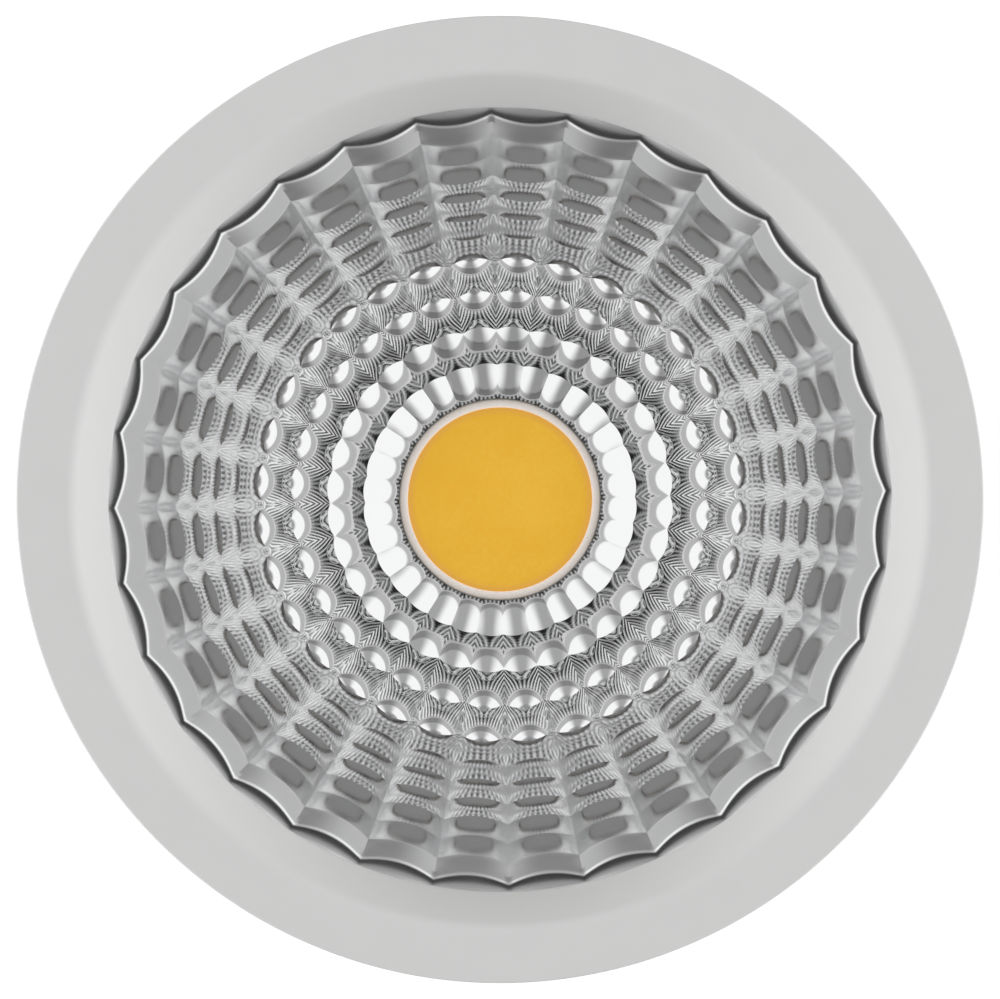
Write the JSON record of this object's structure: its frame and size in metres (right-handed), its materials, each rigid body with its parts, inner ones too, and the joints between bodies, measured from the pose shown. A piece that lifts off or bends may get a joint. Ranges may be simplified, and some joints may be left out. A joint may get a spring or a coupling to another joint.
{
  "type": "led spotlight module",
  "caption": "Round LED spotlight module: white bevelled front ring, faceted mirror bowl round a chip-on-board LED, finned die-cast body and driver behind a screwed lid.",
  "frame": {"origin": "middle of the flat rear face, on which the module stands", "axes": "+Z out of the front along the optical axis; the two leads lie on the XY diagonal"},
  "size_m": [0.05, 0.05, 0.0454],
  "materials": {
    "white_paint": "satin",
    "mirror_coat": "polished",
    "phosphor": "smooth",
    "dam_silicone": "matte",
    "led_ceramic": "matte",
    "gold_plate": "polished",
    "white_plastic": "matte",
    "steel": "plated",
    "thermal_silicone": "matte",
    "cast_aluminium": "cast",
    "red_insulation": "smooth",
    "black_insulation": "smooth",
    "sleeve_plastic": "matte",
    "board_mask": "smooth",
    "ferrite": "matte",
    "winding_tape": "smooth",
    "capacitor_sleeve": "smooth",
    "moulding_compound": "matte",
    "resistor_lacquer": "smooth",
    "terminal_plastic": "matte",
    "cover_plastic": "matte",
    "black_rubber": "matte"
  },
  "bodies": {
    "root": {"front_ring": "white_paint", "reflector": "mirror_coat", "led_phosphor": "phosphor", "led_dam": "dam_silicone", "led_substrate": "led_ceramic", "led_pads": "gold_plate", "led_holder": "white_plastic", "holder_contacts": "gold_plate", "holder_screws": "steel", "thermal_pad": "thermal_silicone", "heat_sink": "cast_aluminium", "ring_screws": "steel", "lead_positive": "red_insulation", "lead_negative": "black_insulation", "lead_bushes": "white_plastic", "insulating_sleeve": "sleeve_plastic", "driver_board": "board_mask", "transformer_core": "ferrite", "transformer_winding": "winding_tape", "input_capacitor": "capacitor_sleeve", "output_capacitor": "capacitor_sleeve", "filter_choke": "ferrite", "bridge_rectifier": "moulding_compound", "driver_chip": "moulding_compound", "fuse_resistor": "resistor_lacquer", "terminal_block": "terminal_plastic", "terminal_screws": "steel", "rear_cover": "cover_plastic", "rear_cover_screws": "steel", "cord_grommet": "black_rubber"}
  },
  "joints": []
}
